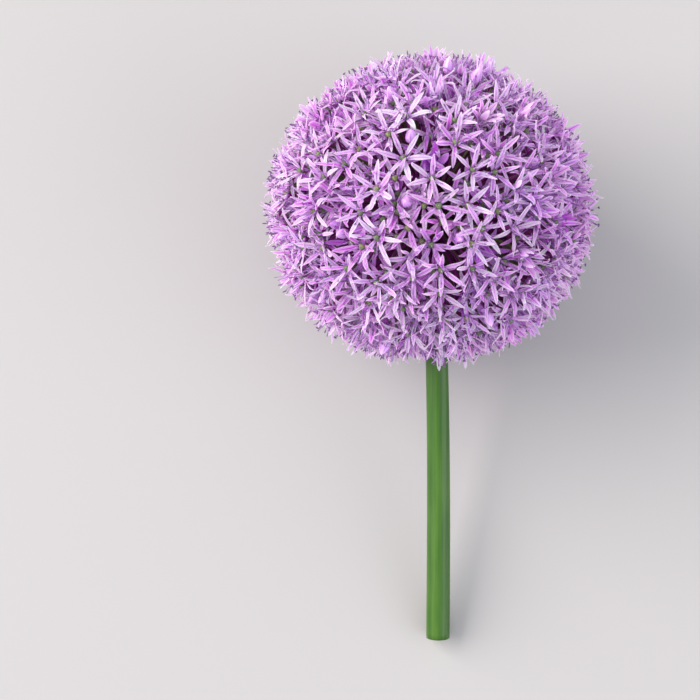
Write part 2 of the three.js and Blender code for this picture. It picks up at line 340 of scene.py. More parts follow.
def grow_florets(sizes):
    """Every floret, the same each time it is asked for. One that would reach the table is pushed up."""
    chance = random.Random(sizes.seed)
    florets = [Floret(index, sizes, chance) for index in range(sizes.floret_count)]
    florets = [floret for floret in florets if chance.random() > HOLLOW_THINNING * floret.hollow]
    proud = []
    for way, turn in FRONT_STARS:
        star = place_by_hand(florets, proud, way, turn)
        star.stand_out(chance)
        proud.append(star)
    for way in FRONT_BUDS:
        bud = place_by_hand(florets, proud, way, 0)
        bud.is_bud = True
        bud.sit_at(bud.surface - PLACED_BUD_DEPTH)
        proud.append(bud)
    placed = list(proud)
    for way in SECOND_ROW:
        shaded = place_by_hand(florets, placed, way, chance.uniform(0, 60))
        shaded.sit_at(shaded.surface - chance.uniform(*SECOND_ROW_DEPTHS))
        placed.append(shaded)
    for floret in florets:
        if floret not in placed and floret.angle_to(proud) < ELBOW_ROOM:
            floret.sit_at(floret.surface - chance.uniform(*CROWDED_DEPTHS))
    for floret in chance.sample(florets, len(florets)):
        if floret.angle_to(proud) > STAR_GAP and not floret.is_bud and not floret.hollow:
            floret.stand_out(chance)
            proud.append(floret)
    lean = slope(sizes)
    down = Vector((0, cos(lean), -sin(lean)))
    for floret in florets:
        floret.clear_the_stem(sizes)
        into_table = floret.reach_down(sizes, down) - sizes.centre_height + TABLE_GAP
        if into_table > 0:
            floret.base -= down * into_table
    return florets


def open_florets(sizes):
    """The florets that aren't closed buds."""
    return [floret for floret in grow_florets(sizes) if not floret.is_bud]


# ---- making meshes ----
def straight_tube(sides, cuts, closed=True):
    """A bmesh tube of radius 1 from the origin to 1 along +Z, with rings to bend it by."""
    bm = bmesh.new()
    bmesh.ops.create_cone(bm, cap_ends=closed, segments=sides, radius1=1, radius2=1, depth=1,
                          matrix=Matrix.Translation((0, 0, 0.5)))
    long_edges = [edge for edge in bm.edges if abs(edge.verts[0].co.z - edge.verts[1].co.z) > 0.5]
    bmesh.ops.subdivide_edges(bm, edges=long_edges, cuts=cuts, use_grid_fill=True)
    return bm


def along_bent_line(angle_at, share, steps=12):
    """How far along X and Z a line 1 long has come at a share of its length, climbing at angle_at."""
    x = z = 0
    for i in range(steps):
        angle = angle_at(share * (i + 0.5) / steps)
        x += cos(angle) * share / steps
        z += sin(angle) * share / steps
    return x, z


def as_mesh(name, bm):
    """Turns a bmesh into a mesh."""
    mesh = bpy.data.meshes.new(name)
    bm.to_mesh(mesh)
    bm.free()
    return mesh


def shade_smooth(bm):
    """Makes every face of a bmesh smooth."""
    for face in bm.faces:
        face.smooth = True


def as_template(name, bm):
    """Keeps a bmesh as a smooth mesh to stamp copies of, with room for a tint and a depth."""
    shade_smooth(bm)
    mesh = as_mesh(name, bm)
    for value in ("tint", "depth"):
        mesh.attributes.new(value, "FLOAT", "POINT")
    return mesh


def stamp(bm, template, matrix, tint, depth=0):
    """Adds a moved copy of a template to a bmesh, all in one tint and of one depth in the ball."""
    copy = template.copy()
    copy.transform(matrix)
    for name, value in (("tint", tint), ("depth", depth)):
        copy.attributes[name].data.foreach_set("value", [value] * len(copy.vertices))
    bm.from_mesh(copy)
    bpy.data.meshes.remove(copy)


def discard(templates):
    """Removes templates once their copies are stamped."""
    for template in templates:
        bpy.data.meshes.remove(template)


def add_object(name, data):
    """Adds an object to the scene."""
    made = bpy.data.objects.new(name, data)
    bpy.context.scene.collection.objects.link(made)
    return made


def finished_piece(name, bm, materials, replaced=()):
    """Makes an upright bmesh a piece of the flower, laid on the table and nowhere below it."""
    bmesh.ops.transform(bm, matrix=laid_down(bpy.context.scene.flower_sizes), verts=bm.verts)
    for vert in bm.verts:
        vert.co.z = max(vert.co.z, 0)
    mesh = as_mesh(name, bm)
    for material in materials:
        mesh.materials.append(material)
    piece = add_object(name, mesh)
    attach(piece, "root")
    if replaced:
        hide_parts(*replaced)


class Growth:
    """Runs the grow method of a piece's operator with the flower's sizes and colours."""

    def execute(self, context):
        self.grow(context.scene.flower_sizes, context.scene.flower_colours)
        return {"FINISHED"}


# ---- petals ----
PETAL_RINGS = 7
DEEP_PETAL_RINGS = 4            # those deep in the ball are half hidden, so they have fewer faces
DEEP = 0.4                      # the depth from which a floret counts as one of them
PETAL_BASE = 0.9 * MM           # from the floret's own axis to its petals' feet
INNER_RING_LIFT = 0.2 * MM
FOOT_WIDTH = 0.38               # the share of its width that a petal's foot has
WIDEST_PLACE = 0.52             # how far along a petal is widest
TIP_THINNING = 0.55             # the shares of its thickness that a petal loses to its tip and margins
MARGIN_THINNING = 0.7
PETAL_CHANNEL = 0.42 * MM       # how far the margins stand above the middle vein
PETAL_WAVE = 0.16 * MM          # how far the margins swing up and down
HOOK_START = 0.7                # how far along a petal its tip begins to hook
UNDERSIDE = 2                   # is added to the UV map's first number on a petal's underside
# bend over the whole length, twist and hook of the tip, in radians, and how blunt the tip is
PETAL_SHAPES = (
    (-0.55, 0.10, 0.0, 5.0), (-0.30, -0.25, 0.0, 3.5), (-0.10, 0.15, -0.5, 5.0), (0.15, -0.10, 0.3, 3.2),
    (-0.75, 0.30, 0.0, 4.0), (0.35, 0.20, -0.4, 5.0), (-0.40, -0.35, 0.5, 3.2), (-0.20, 0.40, 0.0, 4.0),
    (-0.60, -0.15, -0.9, 3.5), (0.05, 0.05, 0.9, 5.0), (-0.15, -0.50, 2.1, 4.0), (-0.35, 0.20, -1.9, 4.0),
)


def petal_template(sizes, rings, bend, twist, hook, bluntness):
    """A full-grown petal from the origin along +X, facing +Z: channelled above, keeled below."""
    bm = straight_tube(6, rings)
    margin = cos(radians(30))   # the largest X of a six-sided tube of radius 1
    veins = bm.loops.layers.uv.new("Petal")
    for face in bm.faces:
        side = UNDERSIDE if face.calc_center_median().y < -0.1 else 0
        for loop in face.loops:
            loop[veins].uv = (side + 0.5 + loop.vert.co.x / margin / 2, loop.vert.co.z)
    for edge in bm.edges:
        edge.smooth = min(abs(vert.co.x) for vert in edge.verts) < margin / 2

    def angle_at(share):
        return bend * share + hook * max(0, (share - HOOK_START) / (1 - HOOK_START)) ** 2

    for vert in bm.verts:
        share = 1 - (1 - vert.co.z) ** 1.4      # rings lie closer together towards the tip
        side = vert.co.x / margin
        fullness = FOOT_WIDTH + (1 - FOOT_WIDTH) * sin(min(1, share / WIDEST_PLACE) * pi / 2)
        fullness *= (1.02 - share ** bluntness) ** 0.85     # just above 1, so the tip has a width
        across = side * sizes.petal_width / 2 * fullness
        thickness = sizes.petal_thickness * (1 - TIP_THINNING * share) * (1 - MARGIN_THINNING * abs(side))
        wave = PETAL_WAVE * sin(9 * share + 20 * bend + 2 * side) * abs(side)
        up = PETAL_CHANNEL * fullness * abs(side) + wave + copysign(thickness / 2, vert.co.y)
        turned = Matrix.Rotation(twist * share, 2) @ Vector((across, up))
        x, z = along_bent_line(angle_at, share)
        angle = angle_at(share)
        vert.co = Vector((x * sizes.petal_length - sin(angle) * turned.y, turned.x,
                          z * sizes.petal_length + cos(angle) * turned.y))
    return as_template("Petal", bm)


class FLOWER_OT_petals(Growth, bpy.types.Operator):
    """Six petals on each open floret: an outer and an inner ring of three, and those deep in the ball"""

    bl_idname = "flower.petals"
    bl_label = "Petals"

    def grow(self, sizes, colours):
        chance = random.Random(sizes.seed + 1)
        fine = [petal_template(sizes, PETAL_RINGS, *shape) for shape in PETAL_SHAPES]
        plain = [petal_template(sizes, DEEP_PETAL_RINGS, *shape) for shape in PETAL_SHAPES]
        groups = {name: bmesh.new() for name in ("petals_outer", "petals_inner", "petals_deep")}
        for floret in open_florets(sizes):
            deep = floret.depth > DEEP
            for k, (turn, rise, scale) in enumerate(floret.petals):
                inner = k % 2
                breadth = scale * floret.breadth * chance.uniform(0.9, 1.08)
                place = (floret.frame(turn)
                         @ Matrix.Translation((PETAL_BASE, 0, inner * INNER_RING_LIFT))
                         @ Matrix.Rotation(-rise, 4, "Y") @ Matrix.Diagonal((scale, breadth, scale, 1)))
                tint = min(1, max(0, floret.tint + chance.uniform(-0.07, 0.07)))
                group = "petals_deep" if deep else ("petals_outer", "petals_inner")[inner]
                stamp(groups[group], chance.choice(plain if deep else fine), place, tint, floret.depth)
        tissue = petal_tissue(colours)
        for name, bm in groups.items():
            finished_piece(name, bm, [tissue], ["flower_head"])
        discard(fine + plain)


# ---- stamens ----
FILAMENT_FOOT = 0.65 * MM       # filaments are broad where they hug the ovary
FILAMENT_RADIUS = 0.19 * MM
ANTHER_SIZE = (0.34 * MM, 0.34 * MM, 0.95 * MM)
SHED_ANTHERS = 0.3              # the share of filaments that have lost theirs
STAMEN_SHAPES = ((0.25, 0.3), (-0.2, 0.7), (0.5, 0.1), (0.1, -0.5), (-0.4, 1.3))  # bend, anther's tilt
STAMEN_PLACE = (1.35 * MM, 0, 0.4 * MM)
STAMEN_LEANS = (14, 34)         # degrees, one for each floret
STYLE_PLACE = (0, 0, 2.4 * MM)
STYLE_SCALE = 0.5               # of a filament


def filament_template(sizes, bend):
    """A filament from the origin along +Z, which bends towards +X and tapers."""
    bm = straight_tube(4, 2)
    thread = bm.loops.layers.uv.new("Thread")
    for face in bm.faces:
        for loop in face.loops:
            loop[thread].uv = (0.5, loop.vert.co.z)
    for vert in bm.verts:
        share = vert.co.z
        z, x = along_bent_line(lambda s: bend * s, share)
        radius = FILAMENT_RADIUS + (FILAMENT_FOOT - FILAMENT_RADIUS) * (1 - share) ** 3
        vert.co = Vector((x * sizes.filament_length + vert.co.x * radius, vert.co.y * radius,
                          z * sizes.filament_length))
    return as_template("Filament", bm)


def anther_template(sizes, bend, tilt):
    """The anther of that filament, balanced on its tip."""
    bm = bmesh.new()
    bmesh.ops.create_uvsphere(bm, u_segments=5, v_segments=4, radius=1,
                              matrix=Matrix.Rotation(tilt, 4, "Y") @ Matrix.Diagonal((*ANTHER_SIZE, 1)))
    z, x = along_bent_line(lambda s: bend * s, 1)
    bmesh.ops.translate(bm, verts=bm.verts, vec=Vector((x, 0, z)) * sizes.filament_length)
    return as_template("Anther", bm)


class FLOWER_OT_stamens(Growth, bpy.types.Operator):
    """Six stamens and a style in each open floret"""

    bl_idname = "flower.stamens"
    bl_label = "Stamens and styles"

    def grow(self, sizes, colours):
        chance = random.Random(sizes.seed + 2)
        filaments = [filament_template(sizes, bend) for bend, _ in STAMEN_SHAPES]
        anthers = [anther_template(sizes, bend, tilt) for bend, tilt in STAMEN_SHAPES]
        filament_bm = bmesh.new()
        anther_bm = bmesh.new()
        for floret in open_florets(sizes):
            spread = radians(chance.uniform(*STAMEN_LEANS))
            for turn, _, scale in floret.petals:
                lean = spread + radians(chance.gauss(0, 6))
                reach = scale * floret.ripeness * chance.uniform(0.9, 1.05)
                place = (floret.frame(turn + chance.uniform(-0.1, 0.1))
                         @ Matrix.Translation(STAMEN_PLACE) @ Matrix.Rotation(lean, 4, "Y")
                         @ Matrix.Diagonal((1, 1, reach, 1)))
                shape = chance.randrange(len(STAMEN_SHAPES))
                stamp(filament_bm, filaments[shape], place, chance.random())
                if chance.random() > SHED_ANTHERS:
                    stamp(anther_bm, anthers[shape], place, chance.random())
            style = floret.frame() @ Matrix.Translation(STYLE_PLACE) @ Matrix.Scale(STYLE_SCALE, 4)
            stamp(filament_bm, filaments[0], style, chance.random())
        finished_piece("filaments", filament_bm, [filament_tissue(colours)])
        finished_piece("anthers", anther_bm, [pollen_sac(colours)])
        discard(filaments + anthers)


# ---- ovaries ----
# shares of the ovary's radius
OVARY_BREADTH = 0.9
LOBES = 0.16                    # how far they rise, and the grooves between them sink
TOP_DIMPLE = 0.25
OVARY_HEIGHT = 0.95
OVARY_LIFT = 0.75


def ovary_template(sizes):
    """A squat ovary of three lobes, sitting just above the origin."""
    bm = bmesh.new()
    bmesh.ops.create_uvsphere(bm, u_segments=12, v_segments=5, radius=1)
    for vert in bm.verts:
        lobes = OVARY_BREADTH + LOBES * cos(3 * atan2(vert.co.y, vert.co.x))
        height = OVARY_HEIGHT * vert.co.z + OVARY_LIFT - TOP_DIMPLE * max(0, vert.co.z) ** 6
        vert.co = Vector((vert.co.x * lobes, vert.co.y * lobes, height)) * sizes.ovary_radius
    return as_template("Ovary", bm)


class FLOWER_OT_ovaries(Growth, bpy.types.Operator):
    """The green ovary in the middle of each open floret"""

    bl_idname = "flower.ovaries"
    bl_label = "Ovaries"

    def grow(self, sizes, colours):
        chance = random.Random(sizes.seed + 3)
        template = ovary_template(sizes)
        bm = bmesh.new()
        for floret in open_florets(sizes):
            place = floret.frame(floret.petals[0][0]) @ Matrix.Scale(floret.scale, 4)
            stamp(bm, template, place, chance.random())
        finished_piece("ovaries", bm, [ovary_skin(colours)])
        discard([template])


# ---- buds ----
BUD_LENGTH = 9 * MM
BUD_RADIUS = 2.5 * MM
BUD_DEPTH = 0.15                # buds are coloured as florets at least this deep are
BUD_TINTS = (0.2, 0.35)         # and within this part of the petals' tints
FOLD_DEPTH = 0.16               # of the grooves between petals, as a share of the radius


def bud_template():
    """A closed bud from the origin along +Z, with six petals folded to a point."""
    bm = bmesh.new()
    bmesh.ops.create_uvsphere(bm, u_segments=24, v_segments=12, radius=1)
    veins = bm.loops.layers.uv.new("Petal")
    for face in bm.faces:
        for loop in face.loops:
            from_keel = abs(sin(3 * atan2(loop.vert.co.y, loop.vert.co.x)))
            loop[veins].uv = (0.5 + 0.4 * from_keel, (loop.vert.co.z + 1) / 2)
    for vert in bm.verts:
        share = (vert.co.z + 1) / 2
        around = atan2(vert.co.y, vert.co.x)
        folds = 1 - FOLD_DEPTH * (1 - abs(cos(3 * around))) ** 2
        # an egg that is widest at 0.4 of its length, where 2.75 makes it a full radius
        radius = BUD_RADIUS * folds * 2.75 * max(0, share) ** 0.6 * max(0, 1 - share) ** 0.9
        vert.co = Vector((radius * cos(around), radius * sin(around), share * BUD_LENGTH))
    return as_template("Bud", bm)


class FLOWER_OT_buds(Growth, bpy.types.Operator):
    """Plump closed buds among the open florets"""

    bl_idname = "flower.buds"
    bl_label = "Buds"

    def grow(self, sizes, colours):
        template = bud_template()
        bm = bmesh.new()
        least, most = BUD_TINTS
        for floret in grow_florets(sizes):
            if floret.is_bud:
                place = floret.frame(floret.petals[0][0]) @ Matrix.Scale(floret.scale, 4)
                tint = least + (most - least) * floret.tint
                stamp(bm, template, place, tint, max(BUD_DEPTH, floret.depth))
        finished_piece("buds", bm, [petal_tissue(colours)])
        discard([template])


# ---- stalks and knob ----
STALK_BOWS = (-3.2, -1.5, 0.8, 2.0, 3.6)   # sideways bend, in stalk radii
STALK_ROOT = 0.9                # where stalks begin, as a share of the knob's radius
STALK_END = 0.4 * MM            # below the floret's base, inside the cup
CUP_RADIUS = 1.35 * MM
CUP_HEIGHT = 1.8 * MM
CUP_MIDDLE = (0, 0, -0.6 * MM)
KNOB_UNEVENNESS = 0.5 * MM


def stalk_template(bow):
    """A stalk of radius 1 from the origin to 1 along +Z, bent towards +X in its middle."""
    bm = straight_tube(6, 5)
    for vert in bm.verts:
        vert.co.x += bow * sin(vert.co.z * pi)
    return as_template("Stalk", bm)


def cup_template(sizes):
    """The small cup that joins a stalk to its petals, ending just above the origin."""
    bm = bmesh.new()
    bmesh.ops.create_cone(bm, cap_ends=True, segments=8, radius1=sizes.stalk_radius * 0.9,
                          radius2=CUP_RADIUS, depth=CUP_HEIGHT, matrix=Matrix.Translation(CUP_MIDDLE))
    return as_template("Cup", bm)


class FLOWER_OT_stalks(Growth, bpy.types.Operator):
    """The floret stalks, and the knob that they all spring from"""

    bl_idname = "flower.stalks"
    bl_label = "Stalks and knob"

    def grow(self, sizes, colours):
        chance = random.Random(sizes.seed + 4)
        stalks = [stalk_template(bow) for bow in STALK_BOWS]
        cup = cup_template(sizes)
        bm = bmesh.new()
        for floret in grow_florets(sizes):
            root = floret.outward * sizes.knob_radius * STALK_ROOT
            reach = floret.base - root
            turned = reach.to_track_quat("Z", "Y").to_matrix().to_4x4()
            spin = Matrix.Rotation(chance.uniform(0, tau), 4, "Z")
            thickness = sizes.stalk_radius * chance.uniform(0.85, 1.1)
            size = Matrix.Diagonal((thickness, thickness, reach.length - STALK_END, 1))
            place = Matrix.Translation(root) @ turned @ spin @ size
            stamp(bm, chance.choice(stalks), place, chance.random())
            stamp(bm, cup, floret.frame(), chance.random())
        finished_piece("stalks", bm, [stalk_skin(colours)])
        knob = bmesh.new()
        bmesh.ops.create_icosphere(knob, subdivisions=5, radius=sizes.knob_radius)
        for vert in knob.verts:
            vert.co += vert.co.normalized() * noise.noise(vert.co * 900) * KNOB_UNEVENNESS
        shade_smooth(knob)
        finished_piece("knob", knob, [stalk_skin(colours)])
        discard([*stalks, cup])


# ---- stem ----
STEM_SIDES = 64
STEM_RINGS = 70
STEM_RIBS = 13
RIB_HEIGHT = 0.006              # as a share of the radius, at the top
NECK_LENGTH = 9 * MM            # where the stem flares into the knob
NECK_FLARE = 1.2 * MM
RIND = 0.5 * MM
PITH_DEPTH = 0.15 * MM          # how far the cut face has shrunk into the rind


class FLOWER_OT_stem(Growth, bpy.types.Operator):
    """The smooth green stem with its cut end"""

    bl_idname = "flower.stem"
    bl_label = "Stem"

    def grow(self, sizes, colours):
        bm = straight_tube(STEM_SIDES, STEM_RINGS)
        top = sizes.knob_radius * 0.8
        for vert in bm.verts:
            distance = sizes.stem_length + (top - sizes.stem_length) * vert.co.z
            share = distance / sizes.stem_length
            radius = sizes.stem_top_radius + (sizes.stem_cut_radius - sizes.stem_top_radius) * share
            neck = max(0, 1 - (distance - top) / NECK_LENGTH)
            radius += NECK_FLARE * neck * neck
            around = atan2(vert.co.y, vert.co.x)
            ribs = 1 - RIB_HEIGHT * (1 + cos(STEM_RIBS * around + 2 * share)) * vert.co.z
            vert.co = stem_middle(sizes, distance) + Vector((vert.co.x, vert.co.y, 0)) * radius * ribs
        for face in bm.faces:
            face.smooth = len(face.verts) == 4
        cut = [face for face in bm.faces if len(face.verts) > 4 and face.calc_center_median().z < -top * 2]
        bmesh.ops.inset_individual(bm, faces=cut, thickness=RIND)
        for face in cut:
            face.material_index = 1
        bmesh.ops.inset_individual(bm, faces=cut, thickness=RIND, depth=-PITH_DEPTH)
        finished_piece("stem_skin", bm, [stem_rind(colours), stem_pith(colours)], ["stem"])


# ---- sheath ----
SHEATH_SIDES = 96
SHEATH_RINGS = 20
TONGUES = 3
COLLAR_SHARE = 0.3              # how much of its length is a closed collar
PAPER = 0.25 * MM
COLLAR_GAP = 0.7 * MM           # between the stem and the collar
CRINKLES = 1.4 * MM
RAGGEDNESS = 0.05               # of the tongues' ends, as a share of their length


class FLOWER_OT_sheath(Growth, bpy.types.Operator):
    """The dry papery sheath that once wrapped the bud, split into tongues under the knob"""

    bl_idname = "flower.sheath"
    bl_label = "Sheath"

    def grow(self, sizes, colours):
        bm = straight_tube(SHEATH_SIDES, SHEATH_RINGS, closed=False)
        inner = sizes.stem_top_radius + COLLAR_GAP
        for vert in bm.verts:
            share = vert.co.z
            around = atan2(vert.co.y, vert.co.x)
            tongue = abs(cos(around * TONGUES / 2)) ** 0.8
            crinkle = noise.noise(Vector((vert.co.x * 3, vert.co.y * 3, share * 2.5)))
            ragged = 1 + RAGGEDNESS * noise.noise(Vector((vert.co.x * 9, vert.co.y * 9, 4.0)))
            distance = sizes.sheath_top + share * sizes.sheath_length * ragged * (
                COLLAR_SHARE + (1 - COLLAR_SHARE) * tongue)
            radius = inner + (sizes.sheath_flare + CRINKLES * crinkle) * share * share
            vert.co = stem_middle(sizes, distance) + Vector((vert.co.x, vert.co.y, 0)) * radius
        bmesh.ops.recalc_face_normals(bm, faces=bm.faces)
        bmesh.ops.solidify(bm, geom=bm.faces, thickness=PAPER)
        shade_smooth(bm)
        finished_piece("sheath_paper", bm, [dry_paper(colours)], ["sheath"])


# ---- materials ----
def node(tree, kind, inputs=None, stops=(), give=0, **settings):
    """Adds a shader node with its own settings, its inputs' values or links, and a ramp's stops, and
    gives back the output that is asked for."""
    made = tree.nodes.new("ShaderNode" + kind)
    for name, value in settings.items():
        setattr(made, name, value)
    for name, value in (inputs or {}).items():
        if isinstance(value, bpy.types.NodeSocket):
            tree.links.new(value, made.inputs[name])
        else:
            made.inputs[name].default_value = value
    if stops:
        elements = made.color_ramp.elements
        elements.remove(elements[1])
        elements[0].position, elements[0].color = stops[0]
        for position, stop_colour in stops[1:]:
            elements.new(position).color = stop_colour
    return made.outputs[give] if made.outputs else None


def new_material(name):
    """A node material with nothing in it yet, and its node tree."""
    material = bpy.data.materials.new(name)
    material.use_nodes = True
    material.node_tree.nodes.clear()
    return material, material.node_tree


def coated(tree, base, *coats):
    """A colour under coats: each is a mask, its range, the coat's share at either end, and its colour."""
    for mask, start, end, low, high, coat in coats:
        share = node(tree, "MapRange", {0: mask, 1: start, 2: end, 3: low, 4: high})
        base = node(tree, "Mix", {0: share, 6: base, 7: coat}, data_type="RGBA", give=2)
    return base


def grain(tree, place, scale, detail, strength, height, under=None):
    """Noise of a scale and detail, and the bump of some strength and height that it makes."""
    noisy = node(tree, "TexNoise", {"Vector": place, "Scale": scale, "Detail": detail})
    relief = {"Strength": strength, "Distance": height, "Height": noisy, **(under or {})}
    return noisy, node(tree, "Bump", relief)


def with_surface(material, inputs):
    """Gives a material its shader, with these inputs, and returns it."""
    tree = material.node_tree
    skin = node(tree, "BsdfPrincipled", inputs)
    node(tree, "OutputMaterial", {"Surface": skin})
    return material


def along_the_stem(tree, place, stretch):
    """Object coordinates turned so that Y runs up the stem, where a pattern is drawn out."""
    return node(tree, "Mapping", {
        "Vector": place, "Rotation": (slope(bpy.context.scene.flower_sizes), 0, 0),
        "Scale": (1, stretch, 1)}, vector_type="TEXTURE")


def petal_tissue(colours):
    # Fresh allium tepal: thin moist tissue with a waxy skin. It has a soft broad gloss, light soaks
    # a little way in, and fine veins run its length. Veins are 0.2 mm apart.
    material, tree = new_material("Allium tepal")
    spot = node(tree, "UVMap", uv_map="Petal")
    sideways = node(tree, "SeparateXYZ", {0: spot}, give="X")
    along = node(tree, "SeparateXYZ", {0: spot}, give="Y")
    under = node(tree, "Math", {0: sideways, 1: UNDERSIDE - 0.5}, operation="GREATER_THAN")
    across = node(tree, "Math", {0: under, 1: -UNDERSIDE, 2: sideways}, operation="MULTIPLY_ADD")
    tint = node(tree, "Attribute", give="Fac", attribute_name="tint")
    depth = node(tree, "Attribute", give="Fac", attribute_name="depth")
    centred = node(tree, "Math", {0: across, 1: 0.5}, operation="SUBTRACT")
    aside = node(tree, "Math", {0: centred}, operation="ABSOLUTE")
    from_vein = node(tree, "Math", {0: aside, 1: 2}, operation="MULTIPLY")
    ribs = node(tree, "ValToRGB", {"Fac": from_vein}, stops=(
        (0, colours.petal_vein), (0.12, colours.petal_deep), (0.24, colours.petal_light),
        (0.42, colours.petal_light), (0.5, colours.petal_deep), (0.58, colours.petal_light),
        (0.86, colours.petal_margin)))
    # streaks: 14 across the petal, 2 along it, and others for each tint
    on_petal = node(tree, "CombineXYZ", {0: across, 1: along, 2: tint})
    drawn_out = node(tree, "VectorMath", {0: on_petal, 1: (14, 2, 40)}, operation="MULTIPLY")
    streaks, relief = grain(tree, drawn_out, 1, 2, 0.3, 0.1 * MM)
    coats = coated(
        tree, ribs,
        (streaks, 0.3, 0.48, 0.5, 0, colours.petal_deep),
        (streaks, 0.5, 0.7, 0, 0.5, colours.petal_margin),
        (along, 0.72, 1, 0, 0.65, colours.petal_margin),    # paler towards the tip
        (under, 0, 1, 0, 0.58, colours.petal_margin),     # frosted underside
        (along, 0, 0.25, 0.7, 0, colours.petal_deep),       # deeper towards the foot
        (depth, 0, 0.28, 0.2, 0, colours.petal_margin),     # painted highlight: paler outside the ball
        (depth, 0.15, 0.85, 0, 0.9, colours.petal_deep))      # and painted shade: deeper inside it
    # each tint has its own hue, brightness and, by a quick wave, strength
    hue = node(tree, "MapRange", {0: tint, 1: 0, 2: 1, 3: 0.474, 4: 0.52})
    shade = node(tree, "MapRange", {0: tint, 1: 0, 2: 1, 3: 1.06, 4: 0.93})
    phase = node(tree, "Math", {0: tint, 1: 17}, operation="MULTIPLY")
    wave = node(tree, "Math", {0: phase}, operation="SINE")
    strength = node(tree, "MapRange", {0: wave, 1: -1, 2: 1, 3: 0.82, 4: 1.2})
    varied = node(tree, "HueSaturation", {
        "Hue": hue, "Saturation": strength, "Value": shade, "Color": coats})
    return with_surface(material, {
        "Base Color": varied, "Roughness": 0.45, "IOR": 1.42,
        "Subsurface Weight": 0.8, "Subsurface Radius": (1, 0.5, 0.95), "Subsurface Scale": 2.2 * MM,
        "Normal": relief})


def filament_tissue(colours):
    # Fresh filament and style: watery pale lilac threads with a slight gloss, which are violet
    # towards the anther.
    material, tree = new_material("Allium filament")
    tint = node(tree, "Attribute", give="Fac", attribute_name="tint")
    spot = node(tree, "UVMap", uv_map="Thread")
    along = node(tree, "SeparateXYZ", {0: spot}, give="Y")
    violet = coated(tree, colours.filament,
                    (tint, 0, 1, 0, 1, colours.petal_light),
                    (along, 0.3, 0.95, 0, 1, colours.filament_tip))
    return with_surface(material, {
        "Base Color": violet, "Roughness": 0.45, "IOR": 1.4, "Subsurface Weight": 0.2,
        "Subsurface Radius": (1, 0.7, 1), "Subsurface Scale": 0.4 * MM})


def pollen_sac(colours):
    # Ripe anther: a dry sac dusted with pollen, dull, grey-green to dusky purple.
    material, tree = new_material("Allium anther")
    tint = node(tree, "Attribute", give="Fac", attribute_name="tint")
    place = node(tree, "TexCoord", give="Object")
    dust, relief = grain(tree, place, 3000, 2, 0.5, 0.05 * MM)
    dusted = coated(tree, colours.anther,
                    (tint, 0, 1, 0, 1, colours.petal_vein),
                    (dust, 0.45, 0.7, 0, 0.5, colours.ovary))
    return with_surface(material, {"Base Color": dusted, "Roughness": 0.85, "Normal": relief})


def ovary_skin(colours):
    # Living ovary: smooth waxy green skin, mottled with paler green. The yellower green on a few of them is
    # painted light, a lit copy of the ovary green.
    material, tree = new_material("Allium ovary")
    tint = node(tree, "Attribute", give="Fac", attribute_name="tint")
    place = node(tree, "TexCoord", give="Object")
    mottle, relief = grain(tree, place, 1400, 3, 0.4, 0.1 * MM)
    mottled = coated(tree, colours.ovary,
                     # painted light: the higher tints get the lit, yellower green
                     (tint, 0.6, 1, 0, 1, colours.ovary_painted_lit),
                     (mottle, 0.5, 0.75, 0, 0.45, colours.stem_bloom))
    return with_surface(material, {"Base Color": mottled, "Roughness": 0.4, "IOR": 1.42, "Normal": relief})


def stalk_skin(colours):
    # Floret stalk and knob: thin green skin, which purple sap darkens in most of the stalks.
    material, tree = new_material("Allium stalk")
    tint = node(tree, "Attribute", give="Fac", attribute_name="tint")
    shaded = coated(tree, colours.stalk, (tint, 0.12, 0.35, 0, 1, colours.sap))
    return with_surface(material, {"Base Color": shaded, "Roughness": 0.55, "IOR": 1.4})


def stem_rind(colours):
    # Flower stem: smooth living green rind under a thin waxy bloom, which is rubbed off in
    # places. Broad bands, 3 mm apart, and fine fibres, 0.5 mm apart, run its length.
    material, tree = new_material("Allium stem rind")
    place = node(tree, "TexCoord", give="Object")
    drawn_out = along_the_stem(tree, place, 70)
    fibres, relief = grain(tree, drawn_out, 1 / (0.5 * MM), 2, 0.3, 0.15 * MM)
    bands, ribs = grain(tree, drawn_out, 1 / (3 * MM), 1, 0.3, 0.5 * MM, {"Normal": relief})
    patches = node(tree, "TexNoise", {
        "Vector": along_the_stem(tree, place, 5), "Scale": 1 / (7 * MM), "Detail": 3})
    banded = node(tree, "ValToRGB", {"Fac": bands}, stops=(
        (0.22, colours.stem_shade), (0.5, colours.stem_green), (0.7, colours.stem_olive)))
    bloomed = coated(tree, banded,
                     (fibres, 0.45, 0.75, 0, 0.55, colours.stem_shade),
                     (patches, 0.42, 0.7, 0.02, 0.26, colours.stem_bloom))
    return with_surface(material, {
        "Base Color": bloomed, "Roughness": 0.4, "IOR": 1.42, "Sheen Weight": 0.2,
        "Sheen Roughness": 0.3, "Normal": ribs})


def stem_pith(colours):
    # Freshly cut stem: wet pale pith with darker green strands, about 0.9 mm apart.
    material, tree = new_material("Allium stem pith")
    place = node(tree, "TexCoord", give="Object")
    strands = node(tree, "TexVoronoi", {"Vector": place, "Scale": 1 / (0.9 * MM)})
    dotted = node(tree, "ValToRGB", {"Fac": strands}, stops=(
        (0, colours.stem_green), (0.22, colours.ovary), (0.4, colours.pith), (1, colours.pith)))
    return with_surface(material, {"Base Color": dotted, "Roughness": 0.3, "IOR": 1.38})


def dry_paper(colours):
    # Spathe: the bud's wrapper, dried to a thin straw-coloured skin with lengthwise veins.
    material, tree = new_material("Dry spathe")
    place = node(tree, "TexCoord", give="Object")
    veins, relief = grain(tree, along_the_stem(tree, place, 20), 1 / (0.8 * MM), 4, 0.6, 0.2 * MM)
    veined = node(tree, "ValToRGB", {"Fac": veins}, stops=(
        (0.3, colours.sheath_vein), (0.5, colours.sheath), (0.75, colours.sheath_pale)))
    return with_surface(material, {"Base Color": veined, "Roughness": 0.7, "Normal": relief})


def table_paint(colours):
    # Matt painted board: an even pale grey coat.
    material, _ = new_material("Matt white paint")
    return with_surface(material, {"Base Color": colours.table, "Roughness": 0.9})


